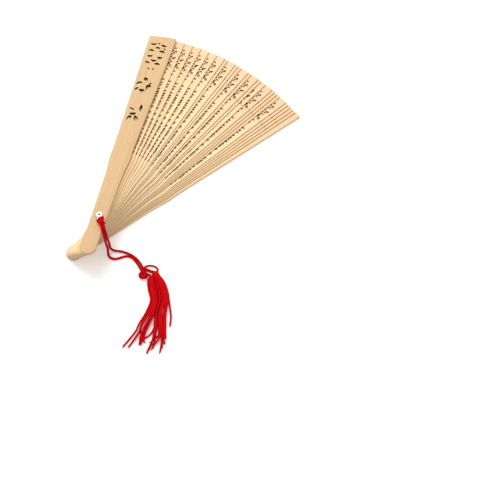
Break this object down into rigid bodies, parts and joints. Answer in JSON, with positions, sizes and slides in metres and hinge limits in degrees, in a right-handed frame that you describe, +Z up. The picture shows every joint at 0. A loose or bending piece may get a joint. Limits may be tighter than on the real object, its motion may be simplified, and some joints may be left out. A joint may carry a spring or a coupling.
{
  "type": "folding fan",
  "caption": "Wooden brise folding fan with pierced blades between two guards on one rivet, and a red cord tassel; the blades open together from a closed stack.",
  "frame": {"origin": "middle of the part-open fan's own outline, without the tassel, at table height under the rear guard", "axes": "+Y along the front guard's reach and the fan's longest extent, +X towards the rear guard's tip, +Z up from the table"},
  "size_m": [0.1588, 0.258, 0.0253],
  "materials": {
    "sandalwood": "pale, unvarnished, fine straight grain",
    "nickel": "bright nickel plate",
    "red_cord": "twisted rayon cord and yarn"
  },
  "bodies": {
    "front_guard": {"front_guard": "sandalwood", "pivot_rivet": "nickel", "rear_washer": "nickel", "tassel_tag": "nickel", "tassel_hitch": "red_cord", "cord_drop_left": "red_cord", "cord_drop_right": "red_cord"},
    "leaf_01": {"leaf_01": "sandalwood"},
    "leaf_02": {"leaf_02": "sandalwood"},
    "leaf_03": {"leaf_03": "sandalwood"},
    "leaf_04": {"leaf_04": "sandalwood"},
    "leaf_05": {"leaf_05": "sandalwood"},
    "leaf_06": {"leaf_06": "sandalwood"},
    "leaf_07": {"leaf_07": "sandalwood"},
    "leaf_08": {"leaf_08": "sandalwood"},
    "leaf_09": {"leaf_09": "sandalwood"},
    "leaf_10": {"leaf_10": "sandalwood"},
    "leaf_11": {"leaf_11": "sandalwood"},
    "leaf_12": {"leaf_12": "sandalwood"},
    "leaf_13": {"leaf_13": "sandalwood"},
    "leaf_14": {"leaf_14": "sandalwood"},
    "leaf_15": {"leaf_15": "sandalwood"},
    "leaf_16": {"leaf_16": "sandalwood"},
    "leaf_17": {"leaf_17": "sandalwood"},
    "leaf_18": {"leaf_18": "sandalwood"},
    "leaf_19": {"leaf_19": "sandalwood"},
    "leaf_20": {"leaf_20": "sandalwood"},
    "leaf_21": {"leaf_21": "sandalwood"},
    "leaf_22": {"leaf_22": "sandalwood"},
    "leaf_23": {"leaf_23": "sandalwood"},
    "leaf_24": {"leaf_24": "sandalwood"},
    "rear_guard": {"rear_guard": "sandalwood"},
    "tassel": {"cord_strand_left": "red_cord", "cord_strand_right": "red_cord", "tassel_knot": "red_cord", "tassel_loop": "red_cord", "tassel_neck": "red_cord", "tassel_skirt": "red_cord"}
  },
  "joints": [
    {"name": "fan_opening", "type": "hinge", "parent": "front_guard", "child": "rear_guard", "pos_m": [-0.05545, -0.07011, 0], "axis": [0, 0, -1], "range_deg": [-38.25, 81.75]},
    {"name": "leaf_01_swing", "type": "hinge", "parent": "front_guard", "child": "leaf_01", "pos_m": [-0.05545, -0.07011, 0], "axis": [0, 0, -1], "range_deg": [-2.29, 4.87]},
    {"name": "leaf_02_swing", "type": "hinge", "parent": "front_guard", "child": "leaf_02", "pos_m": [-0.05545, -0.07011, 0], "axis": [0, 0, -1], "range_deg": [-4.56, 9.72]},
    {"name": "leaf_03_swing", "type": "hinge", "parent": "front_guard", "child": "leaf_03", "pos_m": [-0.05545, -0.07011, 0], "axis": [0, 0, -1], "range_deg": [-6.83, 14.57]},
    {"name": "leaf_04_swing", "type": "hinge", "parent": "front_guard", "child": "leaf_04", "pos_m": [-0.05545, -0.07011, 0], "axis": [0, 0, -1], "range_deg": [-9.1, 19.42]},
    {"name": "leaf_05_swing", "type": "hinge", "parent": "front_guard", "child": "leaf_05", "pos_m": [-0.05545, -0.07011, 0], "axis": [0, 0, -1], "range_deg": [-11.37, 24.27]},
    {"name": "leaf_06_swing", "type": "hinge", "parent": "front_guard", "child": "leaf_06", "pos_m": [-0.05545, -0.07011, 0], "axis": [0, 0, -1], "range_deg": [-13.64, 29.13]},
    {"name": "leaf_07_swing", "type": "hinge", "parent": "front_guard", "child": "leaf_07", "pos_m": [-0.05545, -0.07011, 0], "axis": [0, 0, -1], "range_deg": [-14.49, 30.96]},
    {"name": "leaf_08_swing", "type": "hinge", "parent": "front_guard", "child": "leaf_08", "pos_m": [-0.05545, -0.07011, 0], "axis": [0, 0, -1], "range_deg": [-16.77, 35.81]},
    {"name": "leaf_09_swing", "type": "hinge", "parent": "front_guard", "child": "leaf_09", "pos_m": [-0.05545, -0.07011, 0], "axis": [0, 0, -1], "range_deg": [-17.62, 37.64]},
    {"name": "leaf_10_swing", "type": "hinge", "parent": "front_guard", "child": "leaf_10", "pos_m": [-0.05545, -0.07011, 0], "axis": [0, 0, -1], "range_deg": [-18.48, 39.47]},
    {"name": "leaf_11_swing", "type": "hinge", "parent": "front_guard", "child": "leaf_11", "pos_m": [-0.05545, -0.07011, 0], "axis": [0, 0, -1], "range_deg": [-20.75, 44.32]},
    {"name": "leaf_12_swing", "type": "hinge", "parent": "front_guard", "child": "leaf_12", "pos_m": [-0.05545, -0.07011, 0], "axis": [0, 0, -1], "range_deg": [-21.61, 46.15]},
    {"name": "leaf_13_swing", "type": "hinge", "parent": "front_guard", "child": "leaf_13", "pos_m": [-0.05545, -0.07011, 0], "axis": [0, 0, -1], "range_deg": [-23.88, 51.01]},
    {"name": "leaf_14_swing", "type": "hinge", "parent": "front_guard", "child": "leaf_14", "pos_m": [-0.05545, -0.07011, 0], "axis": [0, 0, -1], "range_deg": [-24.73, 52.84]},
    {"name": "leaf_15_swing", "type": "hinge", "parent": "front_guard", "child": "leaf_15", "pos_m": [-0.05545, -0.07011, 0], "axis": [0, 0, -1], "range_deg": [-26.23, 56.04]},
    {"name": "leaf_16_swing", "type": "hinge", "parent": "front_guard", "child": "leaf_16", "pos_m": [-0.05545, -0.07011, 0], "axis": [0, 0, -1], "range_deg": [-28.5, 60.89]},
    {"name": "leaf_17_swing", "type": "hinge", "parent": "front_guard", "child": "leaf_17", "pos_m": [-0.05545, -0.07011, 0], "axis": [0, 0, -1], "range_deg": [-29.36, 62.73]},
    {"name": "leaf_18_swing", "type": "hinge", "parent": "front_guard", "child": "leaf_18", "pos_m": [-0.05545, -0.07011, 0], "axis": [0, 0, -1], "range_deg": [-30.22, 64.56]},
    {"name": "leaf_19_swing", "type": "hinge", "parent": "front_guard", "child": "leaf_19", "pos_m": [-0.05545, -0.07011, 0], "axis": [0, 0, -1], "range_deg": [-31.07, 66.39]},
    {"name": "leaf_20_swing", "type": "hinge", "parent": "front_guard", "child": "leaf_20", "pos_m": [-0.05545, -0.07011, 0], "axis": [0, 0, -1], "range_deg": [-33.34, 71.24]},
    {"name": "leaf_21_swing", "type": "hinge", "parent": "front_guard", "child": "leaf_21", "pos_m": [-0.05545, -0.07011, 0], "axis": [0, 0, -1], "range_deg": [-34.2, 73.07]},
    {"name": "leaf_22_swing", "type": "hinge", "parent": "front_guard", "child": "leaf_22", "pos_m": [-0.05545, -0.07011, 0], "axis": [0, 0, -1], "range_deg": [-35.06, 74.9]},
    {"name": "leaf_23_swing", "type": "hinge", "parent": "front_guard", "child": "leaf_23", "pos_m": [-0.05545, -0.07011, 0], "axis": [0, 0, -1], "range_deg": [-35.91, 76.73]},
    {"name": "leaf_24_swing", "type": "hinge", "parent": "front_guard", "child": "leaf_24", "pos_m": [-0.05545, -0.07011, 0], "axis": [0, 0, -1], "range_deg": [-36.77, 78.56]},
    {"name": "tassel_swing", "type": "hinge", "parent": "front_guard", "child": "tassel", "pos_m": [-0.05057, -0.08429, 0.0043], "axis": [0, 0, -1], "range_deg": [-19.2, 41]}
  ],
  "couplings": [
    {"joint": "leaf_01_swing", "follows": "fan_opening", "ratio": 0.05934},
    {"joint": "leaf_02_swing", "follows": "fan_opening", "ratio": 0.11868},
    {"joint": "leaf_03_swing", "follows": "fan_opening", "ratio": 0.17802},
    {"joint": "leaf_04_swing", "follows": "fan_opening", "ratio": 0.23736},
    {"joint": "leaf_05_swing", "follows": "fan_opening", "ratio": 0.2967},
    {"joint": "leaf_06_swing", "follows": "fan_opening", "ratio": 0.35604},
    {"joint": "leaf_07_swing", "follows": "fan_opening", "ratio": 0.37844},
    {"joint": "leaf_08_swing", "follows": "fan_opening", "ratio": 0.43778},
    {"joint": "leaf_09_swing", "follows": "fan_opening", "ratio": 0.46019},
    {"joint": "leaf_10_swing", "follows": "fan_opening", "ratio": 0.48259},
    {"joint": "leaf_11_swing", "follows": "fan_opening", "ratio": 0.54193},
    {"joint": "leaf_12_swing", "follows": "fan_opening", "ratio": 0.56433},
    {"joint": "leaf_13_swing", "follows": "fan_opening", "ratio": 0.62367},
    {"joint": "leaf_14_swing", "follows": "fan_opening", "ratio": 0.64608},
    {"joint": "leaf_15_swing", "follows": "fan_opening", "ratio": 0.68529},
    {"joint": "leaf_16_swing", "follows": "fan_opening", "ratio": 0.74463},
    {"joint": "leaf_17_swing", "follows": "fan_opening", "ratio": 0.76703},
    {"joint": "leaf_18_swing", "follows": "fan_opening", "ratio": 0.78943},
    {"joint": "leaf_19_swing", "follows": "fan_opening", "ratio": 0.81184},
    {"joint": "leaf_20_swing", "follows": "fan_opening", "ratio": 0.87118},
    {"joint": "leaf_21_swing", "follows": "fan_opening", "ratio": 0.89358},
    {"joint": "leaf_22_swing", "follows": "fan_opening", "ratio": 0.91598},
    {"joint": "leaf_23_swing", "follows": "fan_opening", "ratio": 0.93839},
    {"joint": "leaf_24_swing", "follows": "fan_opening", "ratio": 0.96079},
    {"joint": "tassel_swing", "follows": "fan_opening", "ratio": 0.5}
  ]
}
